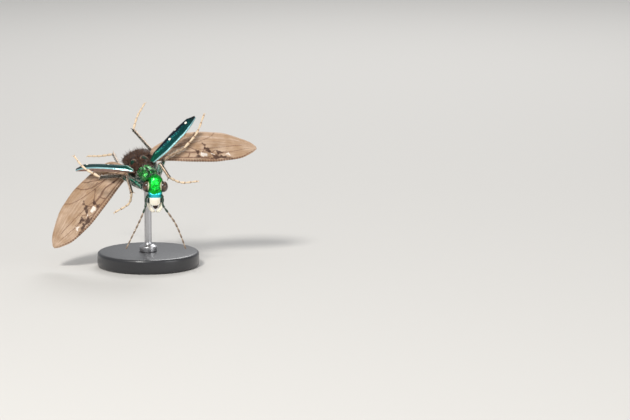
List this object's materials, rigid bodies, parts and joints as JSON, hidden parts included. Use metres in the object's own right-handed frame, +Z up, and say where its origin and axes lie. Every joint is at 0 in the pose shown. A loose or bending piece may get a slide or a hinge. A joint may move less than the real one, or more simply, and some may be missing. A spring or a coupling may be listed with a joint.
{
  "type": "tiger beetle model on a display stand",
  "caption": "Life-size model of a tiger beetle in flight, wing cases and hindwings spread and legs trailing, held by a short rod on a round display base.",
  "frame": {"origin": "centre of the stand base's flat underside, which rests on the table", "axes": "+Z up through the rod, -Y the way the beetle flies, +X towards the beetle's own left wing"},
  "size_m": [0.028, 0.0235, 0.0213],
  "materials": {
    "green_cuticle": "glossy metallic green, finely pitted",
    "dark_cuticle": "dark blue-green with brown membranes and pale hairs",
    "abdomen": "dark brown, slightly glossy rings",
    "elytra": "glossy metallic blue-green with small ivory spots",
    "membrane": "thin tan membrane with brown veins",
    "eye": "very glossy dark brown",
    "pale_mouth": "glossy ivory with brown edges",
    "antenna": "banded brown and pale joints",
    "leg": "metallic green to bronze with pale hairs",
    "tarsus": "pale tan with darker joints",
    "stand_base": "satin black enamel",
    "stand_rod": "brushed bright steel"
  },
  "bodies": {
    "root": {"thorax": "dark_cuticle", "abdomen": "abdomen", "pronotum": "green_cuticle", "head": "green_cuticle", "labrum": "pale_mouth", "eye_left": "eye", "mandible_left": "pale_mouth", "palp_left": "pale_mouth", "antenna_left": "antenna", "elytron_left": "elytra", "hindwing_left": "membrane", "eye_right": "eye", "mandible_right": "pale_mouth", "palp_right": "pale_mouth", "antenna_right": "antenna", "elytron_right": "elytra", "hindwing_right": "membrane", "front_left_femur": "leg", "front_left_tibia": "leg", "front_left_tarsus": "tarsus", "front_right_femur": "leg", "front_right_tibia": "leg", "front_right_tarsus": "tarsus", "middle_left_femur": "leg", "middle_left_tibia": "leg", "middle_left_tarsus": "tarsus", "middle_right_femur": "leg", "middle_right_tibia": "leg", "middle_right_tarsus": "tarsus", "hind_left_femur": "leg", "hind_left_tibia": "leg", "hind_left_tarsus": "tarsus", "hind_right_femur": "leg", "hind_right_tibia": "leg", "hind_right_tarsus": "tarsus", "stand_base": "stand_base", "stand_rod": "stand_rod"}
  },
  "joints": []
}
